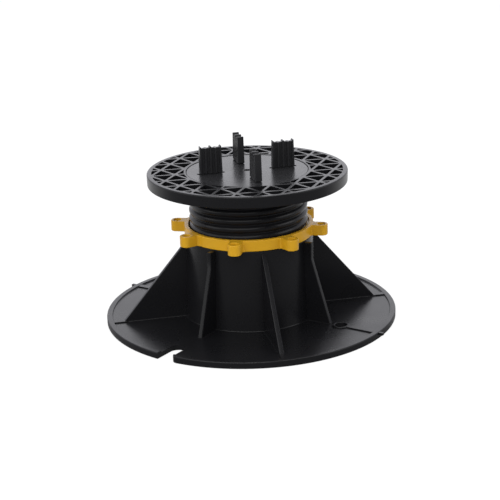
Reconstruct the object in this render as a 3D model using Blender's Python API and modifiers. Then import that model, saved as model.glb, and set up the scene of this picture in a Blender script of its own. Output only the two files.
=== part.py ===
"""Adjustable decking pedestal: a finned base with a threaded socket, a yellow lock ring,
a screw head with a triangular-grid bearing plate, and a spacer disc carrying four push-in tabs.

Units are metres, +Z is up and the origin is the centre of the base's underside. The two rim
notches lie on the X axis, and the two fixing holes and rim tongues lie on the Y axis.
"""

import math

import bmesh
import bpy
from mathutils import Matrix, Vector

COLLECTION_NAME = "decking_pedestal"
CUTTER_COLLECTION_NAME = "cutters"

# Fits
SEAT_GAP = 0.0003
THREAD_CLEARANCE = 0.00035
RING_THREAD_CLEARANCE = 0.0006

# Base flange
BASE_R = 0.100
RIM_HEIGHT = 0.0044
RIM_WIDTH = 0.0038
RIM_EDGE_CHAMFER = 0.0006
PANEL_DROP = 0.0010
STRIP_WIDTH = 0.0042
STRIP_DROP = 0.0002
RIM_TONGUE_REACH = 0.0030
RIM_TONGUE_THICKNESS = 0.0018
RIM_TONGUE_WIDTH = 0.0024
NOTCH_WIDTH = 0.0113
NOTCH_DEPTH = 0.0200
NOTCH_TURN_DEG = -1.65
FIXING_HOLE_R = 0.0040
FIXING_COLLAR_WALL = 0.0018
FIXING_CIRCLE_R = 0.0710

# Base socket and fins
SOCKET_HEIGHT = 0.0589
SOCKET_WALL = 0.0029
SOCKET_DRAFT = 0.0024
SOCKET_THREAD_LENGTH = 0.0145
SOCKET_RELIEF = 0.0008
FIN_THICKNESS = 0.0030
LONG_FIN_TIP_R = 0.0894
LONG_FIN_TOP_DROP = 0.0012
SHORT_FIN_TIP_R = 0.0636
SHORT_FIN_SHOULDER = 0.0062
SHORT_FIN_SHOULDER_HEIGHT = 0.0115
SHORT_FIN_TOP_DROP = 0.0003

# Screw thread, shared by the stem, the socket and the lock ring
THREAD_PITCH = 0.0055
THREAD_CREST_R = 0.04035
THREAD_DEPTH = 0.0015
THREAD_ROOT_FLAT = 0.00105
THREAD_START_DEG = 105.0

# Lock ring
RING_WALL = 0.0033
RING_HEIGHT = 0.0075
RING_COUNTERBORE_DEPTH = 0.0012
RING_EDGE_CHAMFER = 0.0005
LUG_COUNT = 8
LUG_FIRST_DEG = 21.6
LUG_WIDTH = 0.0088
LUG_REACH = 0.0103
LUG_CORNER_R = 0.0040
LUG_HOLE_R = 0.0027

# Screw head
HEAD_R = 0.0678
PLATE_TOP_Z = 0.1032
PLATE_HEIGHT = 0.0077
PLATE_EDGE_CHAMFER = 0.0008
PLATE_FLOOR = 0.0017
PLATE_RIM_WIDTH = 0.0032
RECESS_WALL = 0.0014
STEM_LENGTH = 0.0740
STEM_WALL = 0.0025
GRID_SIDE = 0.0163
GRID_RIB_WIDTH = 0.0019
GRID_FIRST_DEG = 11.6

# Spacer disc
DISC_R = 0.0411
DISC_THICKNESS = 0.0025
DISC_DROP = 0.0003
DISC_SKIRT_DEPTH = 0.0040
DISC_SKIRT_WALL = 0.0020
DISC_HOLE_R = 0.0022

# Spacer tabs
TAB_COUNT = 4
TAB_FIRST_DEG = 45.8
TAB_CENTRE_R = 0.0250
TAB_HEIGHT = 0.0185
TAB_WIDTH = 0.0156
TAB_THICKNESS = 0.0048
TAB_DRAFT = 0.0004
TAB_WEB_THICKNESS = 0.0026
TAB_RIB_COUNT = 5
TAB_RIB_WIDTH = 0.0016
TAB_TROUGH_DEPTH = 0.0010
TAB_POINT_WIDTH = 0.0006
TONGUE_LENGTH = 0.0140
TONGUE_WIDTH = 0.0020
BARB_REACH = 0.0006
BARB_HEIGHT = 0.0010
SLOT_END_SPACE = 0.0024

# Mesh resolution
TURN_STEPS = 60
SMALL_TURN_STEPS = 48
THREAD_STEPS = 30
MERGE_DISTANCE = 0.000002
ARC_STEPS = 6
SINK = 0.0008

# Worked out from the sizes above
PANEL_Z = RIM_HEIGHT - PANEL_DROP
THREAD_ROOT_R = THREAD_CREST_R - THREAD_DEPTH
SOCKET_MINOR_R = THREAD_ROOT_R + THREAD_CLEARANCE
SOCKET_MAJOR_R = THREAD_CREST_R + THREAD_CLEARANCE
SOCKET_TOP_R = SOCKET_MAJOR_R + SOCKET_WALL
SOCKET_FOOT_R = SOCKET_TOP_R + SOCKET_DRAFT
SOCKET_BORE_R = SOCKET_MAJOR_R + SOCKET_RELIEF
RING_BOTTOM_Z = SOCKET_HEIGHT + SEAT_GAP
RING_TOP_Z = RING_BOTTOM_Z + RING_HEIGHT
RING_R = SOCKET_MAJOR_R + RING_WALL
STEM_BORE_R = THREAD_ROOT_R - STEM_WALL
PLATE_BOTTOM_Z = PLATE_TOP_Z - PLATE_HEIGHT
STEM_BOTTOM_Z = PLATE_BOTTOM_Z - STEM_LENGTH
RECESS_R = DISC_R + SEAT_GAP
LEDGE_Z = PLATE_TOP_Z - DISC_DROP - DISC_THICKNESS - SEAT_GAP
DISC_TOP_Z = PLATE_TOP_Z - DISC_DROP
POCKET_INNER_R = RECESS_R + RECESS_WALL
POCKET_OUTER_R = HEAD_R - PLATE_RIM_WIDTH
TAB_FOOT_Z = DISC_TOP_Z + SEAT_GAP
SLOT_WIDTH = TONGUE_WIDTH + 2 * SEAT_GAP

BLACK = (0.018, 0.018, 0.020, 1.0)
YELLOW = (0.66, 0.36, 0.022, 1.0)


def clear_scene():
    for item in list(bpy.data.objects):
        bpy.data.objects.remove(item, do_unlink=True)


def make_collection(name):
    collection = bpy.data.collections.new(name)
    bpy.context.scene.collection.children.link(collection)
    return collection


def make_material(name, colour, roughness):
    material = bpy.data.materials.new(name)
    material.use_nodes = True
    shader = material.node_tree.nodes["Principled BSDF"]
    shader.inputs["Base Color"].default_value = colour
    shader.inputs["Roughness"].default_value = roughness
    shader.inputs["Metallic"].default_value = 0.0
    material.diffuse_color = colour
    return material


def add_object(name, mesh, collection):
    item = bpy.data.objects.new(name, mesh)
    collection.objects.link(item)
    return item


def mesh_from(bm, name):
    bmesh.ops.recalc_face_normals(bm, faces=bm.faces[:])
    mesh = bpy.data.meshes.new(name)
    bm.to_mesh(mesh)
    bm.free()
    return mesh


def turned(name, profile, collection, steps=TURN_STEPS):
    """Closed (radius, z) profile, outer side first from top to bottom, turned about Z."""
    mesh = bpy.data.meshes.new(name)
    count = len(profile)
    edges = [(i, (i + 1) % count) for i in range(count)]
    mesh.from_pydata([(r, 0.0, z) for r, z in profile], edges, [])
    item = add_object(name, mesh, collection)
    screw = item.modifiers.new("Turn", "SCREW")
    screw.axis = "Z"
    screw.angle = math.tau
    screw.steps = steps
    screw.render_steps = steps
    screw.use_merge_vertices = True
    screw.merge_threshold = 0.00001
    return item


def extruded(outline, low, high):
    """Solid from an (x, y) outline between two heights."""
    bm = bmesh.new()
    face = bm.faces.new([bm.verts.new((x, y, low)) for x, y in outline])
    top = bmesh.ops.extrude_face_region(bm, geom=[face])
    moved = [v for v in top["geom"] if isinstance(v, bmesh.types.BMVert)]
    bmesh.ops.translate(bm, verts=moved, vec=(0.0, 0.0, high - low))
    return bm


def upright(outline, thickness):
    """Plate standing in the XZ plane, from an (x, z) outline, centred on Y."""
    bm = extruded(outline, -thickness / 2, thickness / 2)
    bmesh.ops.rotate(bm, verts=bm.verts[:], cent=(0, 0, 0), matrix=Matrix.Rotation(math.pi / 2, 3, "X"))
    return bm


def box(x_low, x_high, width, low, high):
    half = width / 2
    return extruded([(x_low, -half), (x_high, -half), (x_high, half), (x_low, half)], low, high)


def cylinder(radius, low, high, x=0.0, segments=24):
    bm = bmesh.new()
    place = Matrix.Translation((x, 0.0, (low + high) / 2))
    bmesh.ops.create_cone(
        bm,
        cap_ends=True,
        segments=segments,
        radius1=radius,
        radius2=radius,
        depth=high - low,
        matrix=place,
    )
    return bm


def bore(radius, low, high):
    """Round solid whose corners line up with the corners of the thread."""
    bm = cylinder(radius, low, high, segments=THREAD_STEPS)
    turn = Matrix.Rotation(math.radians(THREAD_START_DEG - 90), 3, "Z")
    bmesh.ops.rotate(bm, verts=bm.verts[:], cent=(0, 0, 0), matrix=turn)
    return bm


def around(shape, angles_deg):
    """Copies of one shape turned about Z, in one mesh."""
    ring = bmesh.new()
    piece = bpy.data.meshes.new("piece")
    shape.to_mesh(piece)
    shape.free()
    for angle in angles_deg:
        start = len(ring.verts)
        ring.from_mesh(piece)
        ring.verts.ensure_lookup_table()
        turn = Matrix.Rotation(math.radians(angle), 3, "Z")
        bmesh.ops.rotate(ring, verts=ring.verts[start:], cent=(0, 0, 0), matrix=turn)
    bpy.data.meshes.remove(piece)
    return ring


def helper(name, bm, cutters):
    item = add_object(name, mesh_from(bm, name), cutters)
    hide_helper(item)
    return item


def hide_helper(item):
    item.hide_render = True
    item.display_type = "WIRE"


def combine(item, other, operation):
    step = item.modifiers.new(other.name, "BOOLEAN")
    step.operation = operation
    step.solver = "EXACT"
    step.object = other


def finish(item, material):
    """Apply the modifiers, merge doubled points and shade only the round walls smooth."""
    graph = bpy.context.evaluated_depsgraph_get()
    mesh = bpy.data.meshes.new_from_object(item.evaluated_get(graph))
    mesh.name = item.name
    bm = bmesh.new()
    bm.from_mesh(mesh)
    bmesh.ops.remove_doubles(bm, verts=bm.verts[:], dist=MERGE_DISTANCE)
    bmesh.ops.dissolve_degenerate(bm, edges=bm.edges[:], dist=MERGE_DISTANCE)
    bm.to_mesh(mesh)
    bm.free()
    mesh.shade_smooth()
    mesh.set_sharp_from_angle(angle=math.radians(35))
    mesh.materials.clear()
    mesh.materials.append(material)
    item.modifiers.clear()
    item.data = mesh


def thread_profile(first, last, grow):
    """(radius, z) outline of the ridges first to last, moved outward by a clearance."""
    half_root = (THREAD_PITCH - THREAD_ROOT_FLAT) / 2
    half_crest = half_root - THREAD_DEPTH
    root_r = THREAD_ROOT_R + grow
    crest_r = THREAD_CREST_R + grow
    profile = []
    for ridge in range(first, last + 1):
        z = STEM_BOTTOM_Z + ridge * THREAD_PITCH
        profile += [(root_r, z - half_root), (crest_r, z - half_crest)]
        profile += [(crest_r, z + half_crest), (root_r, z + half_root)]
    return profile


def threaded_rod(low, high, grow=0.0):
    """Solid rod with a right-handed thread; every rod is in mesh with the stem's own."""
    first = math.floor((low - STEM_BOTTOM_Z) / THREAD_PITCH) - 2
    last = math.ceil((high - STEM_BOTTOM_Z) / THREAD_PITCH) + 1
    bm = bmesh.new()
    column = [bm.verts.new((r, 0.0, z)) for r, z in thread_profile(first, last, grow)]
    for lower, upper in zip(column, column[1:]):
        bm.edges.new((lower, upper))
    start = Matrix.Rotation(math.radians(THREAD_START_DEG), 3, "Z")
    bmesh.ops.rotate(bm, verts=bm.verts[:], cent=(0, 0, 0), matrix=start)
    bmesh.ops.spin(
        bm,
        geom=bm.verts[:] + bm.edges[:],
        cent=(0, 0, 0),
        axis=(0, 0, 1),
        dvec=(0, 0, THREAD_PITCH / THREAD_STEPS),
        angle=math.tau,
        steps=THREAD_STEPS,
    )
    bmesh.ops.remove_doubles(bm, verts=bm.verts[:], dist=MERGE_DISTANCE)
    for height, up in ((low, -1), (high, 1)):
        cut = bmesh.ops.bisect_plane(
            bm,
            geom=bm.verts[:] + bm.edges[:] + bm.faces[:],
            dist=MERGE_DISTANCE,
            plane_co=(0, 0, height),
            plane_no=(0, 0, up),
            clear_outer=True,
        )
        rim = [e for e in cut["geom_cut"] if isinstance(e, bmesh.types.BMEdge)]
        bmesh.ops.contextual_create(bm, geom=rim)
    return bm


def base_profile():
    rim_inner_r = BASE_R - RIM_WIDTH
    stock_r = SOCKET_MINOR_R - SINK
    thread_low = SOCKET_HEIGHT - SOCKET_THREAD_LENGTH
    return [
        (SOCKET_TOP_R, SOCKET_HEIGHT),
        (SOCKET_FOOT_R, PANEL_Z),
        (rim_inner_r, PANEL_Z),
        (rim_inner_r, RIM_HEIGHT),
        (BASE_R - RIM_EDGE_CHAMFER, RIM_HEIGHT),
        (BASE_R, RIM_HEIGHT - RIM_EDGE_CHAMFER),
        (BASE_R, 0.0),
        (SOCKET_BORE_R, 0.0),
        (SOCKET_BORE_R, thread_low),
        (stock_r, thread_low),
        (stock_r, SOCKET_HEIGHT),
    ]


def long_fin():
    low = PANEL_Z - SINK
    inner_r = (SOCKET_BORE_R + SOCKET_TOP_R) / 2
    top = SOCKET_HEIGHT - LONG_FIN_TOP_DROP
    tip = (LONG_FIN_TIP_R, PANEL_Z)
    outline = [(inner_r, low), (LONG_FIN_TIP_R, low), tip, (SOCKET_TOP_R, top), (inner_r, top)]
    return upright(outline, FIN_THICKNESS)


def short_fin():
    low = PANEL_Z - SINK
    inner_r = (SOCKET_BORE_R + SOCKET_TOP_R) / 2
    top = SOCKET_HEIGHT - SHORT_FIN_TOP_DROP
    shoulder_r = SOCKET_TOP_R + SHORT_FIN_SHOULDER
    outline = [
        (inner_r, low),
        (SHORT_FIN_TIP_R, low),
        (SHORT_FIN_TIP_R, PANEL_Z),
        (shoulder_r, top - SHORT_FIN_SHOULDER_HEIGHT),
        (shoulder_r, top),
        (inner_r, top),
    ]
    return upright(outline, FIN_THICKNESS)


def notch():
    end_x = BASE_R - NOTCH_DEPTH + NOTCH_WIDTH / 2
    arc = [math.pi / 2 + math.pi * i / (2 * ARC_STEPS) for i in range(2 * ARC_STEPS + 1)]
    half = NOTCH_WIDTH / 2
    outline = [(end_x + half * math.cos(a), half * math.sin(a)) for a in arc]
    far = BASE_R + RIM_TONGUE_REACH
    return extruded(outline + [(far, -half), (far, half)], -SINK, RIM_HEIGHT + SINK)


def build_base(parts, cutters, material):
    base = turned("base", base_profile(), parts)
    strip_top = RIM_HEIGHT - STRIP_DROP
    rim_inside = BASE_R - RIM_WIDTH + SINK
    collar_r = FIXING_HOLE_R + FIXING_COLLAR_WALL
    long_angles = [45, 135, 225, 315]
    short_angles = [0, 90, 180, 270]
    y_angles = [90, 270]
    strip = box(LONG_FIN_TIP_R - FIN_THICKNESS, rim_inside, STRIP_WIDTH, PANEL_Z - SINK, strip_top)
    long_strip = around(strip, long_angles)
    tongue_low = strip_top - RIM_TONGUE_THICKNESS
    unions = {
        "long_fins": around(long_fin(), long_angles),
        "short_fins": around(short_fin(), short_angles),
        "long_strips": long_strip,
        "hole_strips": around(
            box(FIXING_CIRCLE_R + collar_r - SINK, rim_inside, STRIP_WIDTH, PANEL_Z - SINK, strip_top), y_angles
        ),
        "collars": around(cylinder(collar_r, PANEL_Z - SINK, strip_top, FIXING_CIRCLE_R), y_angles),
        "rim_tongues": around(
            box(BASE_R - RIM_WIDTH / 2, BASE_R + RIM_TONGUE_REACH, RIM_TONGUE_WIDTH, tongue_low, strip_top),
            y_angles,
        ),
    }
    for name, shape in unions.items():
        combine(base, helper(name, shape, cutters), "UNION")
    hole = cylinder(FIXING_HOLE_R, -SINK, RIM_HEIGHT + SINK, FIXING_CIRCLE_R)
    combine(base, helper("fixing_holes", around(hole, y_angles), cutters), "DIFFERENCE")
    combine(base, helper("rim_notches", around(notch(), [NOTCH_TURN_DEG, 180 + NOTCH_TURN_DEG]), cutters), "DIFFERENCE")
    thread_low = SOCKET_HEIGHT - SOCKET_THREAD_LENGTH
    tap = threaded_rod(thread_low - SINK, SOCKET_HEIGHT + SINK, THREAD_CLEARANCE)
    combine(base, helper("socket_tap", tap, cutters), "DIFFERENCE")
    finish(base, material)


def lug_outline():
    """Plan of a lug from inside the ring's wall: straight sides and a round nose."""
    half = LUG_WIDTH / 2
    far = RING_R + LUG_REACH
    near = RING_R - RING_WALL / 2
    corner = LUG_CORNER_R
    points = [(near, -half)]
    for centre_y, first in ((corner - half, -90), (half - corner, 0)):
        for i in range(ARC_STEPS // 2 + 1):
            a = math.radians(first + 90 * i / (ARC_STEPS // 2))
            points.append((far - corner + corner * math.cos(a), centre_y + corner * math.sin(a)))
    return points + [(near, half)]


def build_lock_ring(parts, cutters, material):
    stock_r = THREAD_ROOT_R + RING_THREAD_CLEARANCE - SINK
    counterbore_r = THREAD_CREST_R + RING_THREAD_CLEARANCE + SEAT_GAP
    counterbore_z = RING_TOP_Z - RING_COUNTERBORE_DEPTH
    profile = [
        (RING_R - RING_EDGE_CHAMFER, RING_TOP_Z),
        (RING_R, RING_TOP_Z - RING_EDGE_CHAMFER),
        (RING_R, RING_BOTTOM_Z),
        (stock_r, RING_BOTTOM_Z),
        (stock_r, RING_TOP_Z),
    ]
    ring = turned("lock_ring", profile, parts)
    angles = [LUG_FIRST_DEG + 360 / LUG_COUNT * i for i in range(LUG_COUNT)]
    lug_low = RING_BOTTOM_Z
    lug_top = RING_TOP_Z - RING_EDGE_CHAMFER / 2
    lugs = around(extruded(lug_outline(), lug_low, lug_top), angles)
    hole_x = RING_R + LUG_REACH - LUG_WIDTH / 2
    hole = cylinder(LUG_HOLE_R, lug_low - SINK, lug_top + SINK, hole_x, 2 * ARC_STEPS)
    holes = around(hole, angles)
    combine(ring, helper("lugs", lugs, cutters), "UNION")
    combine(ring, helper("lug_holes", holes, cutters), "DIFFERENCE")
    tap = threaded_rod(RING_BOTTOM_Z - SINK, counterbore_z + SINK / 2, RING_THREAD_CLEARANCE)
    combine(ring, helper("ring_tap", tap, cutters), "DIFFERENCE")
    counterbore = bore(counterbore_r, counterbore_z, RING_TOP_Z + SINK)
    combine(ring, helper("ring_counterbore", counterbore, cutters), "DIFFERENCE")
    finish(ring, material)


def grid_bars(direction_deg):
    """Parallel ribs of the triangular grid, one of them through the plate's centre."""
    spacing = GRID_SIDE * math.sqrt(3) / 2
    count = math.floor(POCKET_OUTER_R / spacing)
    bars = bmesh.new()
    piece = bpy.data.meshes.new("bar")
    for i in range(-count, count + 1):
        low = PLATE_BOTTOM_Z - SINK
        bar = box(-HEAD_R, HEAD_R, GRID_RIB_WIDTH, low, PLATE_TOP_Z + 2 * SINK)
        bmesh.ops.translate(bar, verts=bar.verts[:], vec=(0.0, i * spacing, 0.0))
        bar.to_mesh(piece)
        bar.free()
        bars.from_mesh(piece)
    bpy.data.meshes.remove(piece)
    turn = Matrix.Rotation(math.radians(direction_deg), 3, "Z")
    bmesh.ops.rotate(bars, verts=bars.verts[:], cent=(0, 0, 0), matrix=turn)
    return bars


def grid_pockets(cutters):
    """Cutter for every pocket: a deep ring with the three sets of ribs taken out of it."""
    floor_z = PLATE_BOTTOM_Z + PLATE_FLOOR
    above = PLATE_TOP_Z + SINK
    profile = [
        (POCKET_OUTER_R, above),
        (POCKET_OUTER_R, floor_z),
        (POCKET_INNER_R, floor_z),
        (POCKET_INNER_R, above),
    ]
    pockets = turned("pockets", profile, cutters, SMALL_TURN_STEPS)
    for i in range(3):
        bars = helper(f"grid_bars_{i + 1}", grid_bars(GRID_FIRST_DEG + 60 * i), cutters)
        combine(pockets, bars, "DIFFERENCE")
    hide_helper(pockets)
    return pockets


def build_screw_head(parts, cutters, material):
    edge = PLATE_EDGE_CHAMFER
    stock_r = STEM_BORE_R - SINK
    plate_profile = [
        (HEAD_R - edge, PLATE_TOP_Z),
        (HEAD_R, PLATE_TOP_Z - edge),
        (HEAD_R, PLATE_BOTTOM_Z),
        (stock_r, PLATE_BOTTOM_Z),
        (stock_r, LEDGE_Z),
        (RECESS_R, LEDGE_Z),
        (RECESS_R, PLATE_TOP_Z),
    ]
    head = turned("screw_head", plate_profile, parts)
    stem = threaded_rod(STEM_BOTTOM_Z, PLATE_BOTTOM_Z + SINK)
    combine(head, grid_pockets(cutters), "DIFFERENCE")
    combine(head, helper("stem", stem, cutters), "UNION")
    hollow = bore(STEM_BORE_R, STEM_BOTTOM_Z - SINK, PLATE_TOP_Z)
    combine(head, helper("stem_hollow", hollow, cutters), "DIFFERENCE")
    finish(head, material)


def build_spacer_disc(parts, cutters, material):
    bottom = DISC_TOP_Z - DISC_THICKNESS
    skirt_r = STEM_BORE_R - SEAT_GAP
    profile = [
        (DISC_R, DISC_TOP_Z),
        (DISC_R, bottom),
        (skirt_r, bottom),
        (skirt_r, bottom - DISC_SKIRT_DEPTH),
        (skirt_r - DISC_SKIRT_WALL, bottom - DISC_SKIRT_DEPTH),
        (skirt_r - DISC_SKIRT_WALL, bottom),
        (DISC_HOLE_R, bottom),
        (DISC_HOLE_R, DISC_TOP_Z),
    ]
    disc = turned("spacer_disc", profile, parts, SMALL_TURN_STEPS)
    half = TONGUE_LENGTH / 2 + SLOT_END_SPACE
    slot = box(TAB_CENTRE_R - half, TAB_CENTRE_R + half, SLOT_WIDTH, bottom - SINK, DISC_TOP_Z + SINK)
    combine(disc, helper("tab_slots", around(slot, tab_angles()), cutters), "DIFFERENCE")
    finish(disc, material)


def tab_angles():
    return [TAB_FIRST_DEG + 360 / TAB_COUNT * i for i in range(TAB_COUNT)]


def tab_outline():
    """Plan of a tab: a thin web along X with even ribs standing out on both faces."""
    pitch = (TAB_WIDTH - TAB_RIB_WIDTH) / (TAB_RIB_COUNT - 1)
    side = []
    for i in range(TAB_RIB_COUNT):
        centre = -TAB_WIDTH / 2 + TAB_RIB_WIDTH / 2 + i * pitch
        left, right = centre - TAB_RIB_WIDTH / 2, centre + TAB_RIB_WIDTH / 2
        rib = [(left, TAB_THICKNESS / 2), (right, TAB_THICKNESS / 2)]
        before = [(left, TAB_WEB_THICKNESS / 2)] if i else []
        after = [(right, TAB_WEB_THICKNESS / 2)] if i < TAB_RIB_COUNT - 1 else []
        side += before + rib + after
    return side + [(x, -y) for x, y in reversed(side)]


def tab_body():
    """Drafted tab blade, standing on the disc."""
    bm = extruded(tab_outline(), TAB_FOOT_Z, TAB_FOOT_Z + TAB_HEIGHT)
    top = [v for v in bm.verts if v.co.z > TAB_FOOT_Z + TAB_HEIGHT / 2]
    scale_x = 1 - 2 * TAB_DRAFT / TAB_WIDTH
    scale_y = 1 - TAB_DRAFT / TAB_THICKNESS
    bmesh.ops.scale(bm, verts=top, vec=(scale_x, scale_y, 1.0))
    return bm


def tab_troughs():
    """Two shallow troughs in the top edge, which leave points at its corners and its middle."""
    top = TAB_FOOT_Z + TAB_HEIGHT
    corner = TAB_WIDTH / 2 - TAB_DRAFT
    outline = [
        (TAB_POINT_WIDTH / 2, top + SINK),
        (TAB_POINT_WIDTH / 2, top),
        (TAB_RIB_WIDTH / 2, top - TAB_TROUGH_DEPTH),
        (corner - TAB_RIB_WIDTH + TAB_DRAFT, top - TAB_TROUGH_DEPTH),
        (corner - TAB_POINT_WIDTH, top),
        (corner - TAB_POINT_WIDTH, top + SINK),
    ]
    return around(upright(outline, TAB_THICKNESS + 2 * SINK), (0, 180))


def tab_tongue():
    """Barbed tongue that passes through the disc's slot and catches under it."""
    under = DISC_TOP_Z - DISC_THICKNESS - SEAT_GAP
    half = TONGUE_WIDTH / 2
    barb = half + BARB_REACH
    section = [
        (-half, TAB_FOOT_Z + SINK),
        (-half, under),
        (-barb, under),
        (-half, under - BARB_HEIGHT),
        (half, under - BARB_HEIGHT),
        (barb, under),
        (half, under),
        (half, TAB_FOOT_Z + SINK),
    ]
    bm = upright(section, TONGUE_LENGTH)
    bmesh.ops.rotate(bm, verts=bm.verts[:], cent=(0, 0, 0), matrix=Matrix.Rotation(math.pi / 2, 3, "Z"))
    return bm


def build_tabs(parts, cutters, material):
    tab = add_object("spacer_tab_1", mesh_from(tab_body(), "spacer_tab"), parts)
    combine(tab, helper("tab_tongue", tab_tongue(), cutters), "UNION")
    combine(tab, helper("tab_troughs", tab_troughs(), cutters), "DIFFERENCE")
    finish(tab, material)
    for number, angle in enumerate(tab_angles(), start=1):
        item = tab if number == 1 else add_object(f"spacer_tab_{number}", tab.data, parts)
        item.rotation_euler.z = math.radians(angle)
        item.location = Matrix.Rotation(math.radians(angle), 3, "Z") @ Vector((TAB_CENTRE_R, 0.0, 0.0))


def main():
    clear_scene()
    parts = make_collection(COLLECTION_NAME)
    cutters = make_collection(CUTTER_COLLECTION_NAME)
    black = make_material("black_polypropylene", BLACK, 0.42)
    yellow = make_material("yellow_polypropylene", YELLOW, 0.38)
    build_base(parts, cutters, black)
    build_lock_ring(parts, cutters, yellow)
    build_screw_head(parts, cutters, black)
    build_spacer_disc(parts, cutters, black)
    build_tabs(parts, cutters, black)


main()
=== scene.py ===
"""Adjustable decking pedestal: fine surfaces, materials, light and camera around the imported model.

Sizes of the part are in millimetres; each mesh is scaled to metres when it is made.
Sizes of the studio are in metres.
"""

import math
from functools import partial

import bmesh
import bpy
import numpy as np
from mathutils import Matrix, Vector
from mathutils.geometry import delaunay_2d_cdt


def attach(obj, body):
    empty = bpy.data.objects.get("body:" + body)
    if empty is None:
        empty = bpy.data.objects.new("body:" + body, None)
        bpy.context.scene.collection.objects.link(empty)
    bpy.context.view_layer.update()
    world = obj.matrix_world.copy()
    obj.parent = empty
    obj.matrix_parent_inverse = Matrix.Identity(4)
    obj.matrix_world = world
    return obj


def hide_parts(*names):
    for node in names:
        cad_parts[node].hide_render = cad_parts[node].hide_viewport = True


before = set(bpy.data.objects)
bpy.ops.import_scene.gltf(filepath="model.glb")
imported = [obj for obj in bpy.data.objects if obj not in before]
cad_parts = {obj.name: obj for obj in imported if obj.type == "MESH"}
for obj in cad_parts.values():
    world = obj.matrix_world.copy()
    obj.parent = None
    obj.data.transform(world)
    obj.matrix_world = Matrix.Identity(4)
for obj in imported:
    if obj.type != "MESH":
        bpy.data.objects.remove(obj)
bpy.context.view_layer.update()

MM = 0.001
TAU = math.tau

# Sizes shared with the solid model
GAP = 0.3
BASE_R = 100.0
RIM_Z = 4.4
RIM_WIDTH = 3.8
PANEL_Z = 3.4
STRIP_WIDTH = 4.2
STRIP_Z = 4.2
RIM_TONGUE_REACH = 3.0
RIM_TONGUE_WIDTH = 2.4
RIM_TONGUE_LOW = 2.4
NOTCH_WIDTH = 11.3
NOTCH_DEPTH = 20.0
NOTCH_TURN = -1.65
HOLE_R = 4.0
COLLAR_R = 5.8
HOLE_CIRCLE = 71.0
HOLE_ANGLES = (90, 270)
SOCKET_Z = 58.9
SOCKET_TOP_R = 43.6
SOCKET_FOOT_R = 46.0
SOCKET_BORE_R = 41.5
SOCKET_THREAD_LOW = 44.4
FIN = 3.0
LONG_FIN_ANGLES = (45, 135, 225, 315)
LONG_TIP_R = 89.4
LONG_TOP_Z = 57.7
SHORT_FIN_ANGLES = (0, 90, 180, 270)
SHORT_TIP_R = 63.6
SHORT_SHOULDER_R = 49.8
SHORT_SHOULDER_Z = 47.1
SHORT_TOP_Z = 58.6
PITCH = 5.5
CREST_R = 40.35
ROOT_R = 38.85
THREAD_START = 105.0
STEM_LOW = 21.5
STEM_BORE_R = 36.35
RING_LOW = 59.2
RING_TOP = 66.7
RING_R = 44.0
RING_SLACK = 0.6
SOCKET_SLACK = 0.35
COUNTERBORE = 1.2
LUG_COUNT = 8
LUG_FIRST = 21.6
LUG_WIDTH = 8.8
LUG_REACH = 10.3
LUG_CORNER = 4.0
LUG_HOLE_R = 2.7
HEAD_R = 67.8
PLATE_TOP = 103.2
PLATE_LOW = 95.5
PLATE_FLOOR_Z = 97.2
POCKET_IN_R = 42.8
POCKET_OUT_R = 64.6
RECESS_R = 41.4
LEDGE_Z = 100.1
GRID_SIDE = 16.3
GRID_RIB = 1.9
GRID_FIRST = 11.6
DISC_R = 41.1
DISC_TOP = 102.9
DISC_LOW = 100.4
DISC_HOLE_R = 2.2
SKIRT_R = 36.05
SKIRT_LOW = 96.4
SKIRT_WALL = 2.0
TAB_COUNT = 4
TAB_FIRST = 45.8
TAB_CENTRE = 25.0
TAB_FOOT = 103.2
TAB_HEIGHT = 18.5
TAB_WIDTH = 15.6
TAB_THICK = 4.8
TAB_WEB = 2.6
TAB_RIB = 1.6
TAB_RIBS = 5
TAB_DRAFT = 0.4
TAB_TROUGH = 1.0
TONGUE_LENGTH = 14.0
TONGUE_WIDTH = 2.0
BARB_REACH = 0.6
BARB_HEIGHT = 1.0
SLOT_SPACE = 2.4

# Fine form of the thread: a narrow flat root and a full round crest
ROOT_FLAT = 0.5
CREST_POWER = 2.3
THREAD_ROW_SHARES = (0.25, 0.45, 0.6, 0.72, 0.82, 0.9, 0.96, 1.0)

# Fine form of the base
SOCKET_TOP_ROUND = 0.4
SOCKET_FOOT_ROUND = 0.8
RIM_WALL_FOOT = 0.35
RIM_WALL_TOP = 0.1
RIM_IN_ROUND = 0.3
RIM_OUT_ROUND = 0.7
BASE_EDGE = 0.35
FIN_EDGE = 0.5
FIN_FILLET = 0.7
LONG_FILLET_END = 1.2
SHORT_FILLET_END = 0.5
SHORT_TIP_STEP = 0.3
STRIP_EDGE = 0.16
STRIP_START = 3.0
RIM_TONGUE_ROOT = 1.9
NOTCH_NEAR = 4.5
MOUTH_START = 95.5
MOUTH_ROUND = 4.1

# Fine form of the lock ring
RING_BORE_ROUND = 0.35
RING_TOP_ROUND = 0.55
RING_FOOT_ROUND = 0.4
LUG_DROP = 0.12
LUG_EDGE = 0.45
LUG_FILLET = 1.4
LUG_ROOT = 1.6

# Fine form of the plate
PLATE_EDGE = 0.8
PLATE_FOOT_EDGE = 0.45
PLATE_DRAFT = 0.15
RECESS_EDGE = 0.3
RECESS_FILLET = 0.2
STEM_EDGE = 0.3
POCKET_EDGE = 0.18
POCKET_ROUND = 0.95
POCKET_FOOT = 0.5
POCKET_DRAFT = 0.12
POCKET_SMALLEST = 0.75

# Fine form of the disc and tabs
DISC_MOUTH_EDGE = 0.45
SLOT_CORNER = 0.5
SLOT_EDGE = 0.2
TAB_EDGE = 0.28
TAB_FOOT_EDGE = 0.2
TAB_RIB_BLEND = 0.22
TAB_FLANKS = ((0.38, 1.0), (7.1, 6.4))

# How shapes are put together: one reaches into the next, or stands clear of its faces
SINK = 0.8
CUT_OVER = 1.0
CUT_PAST = 6.0
FACE_STEP = 0.01
FINE_FACE_STEP = 0.004

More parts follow.
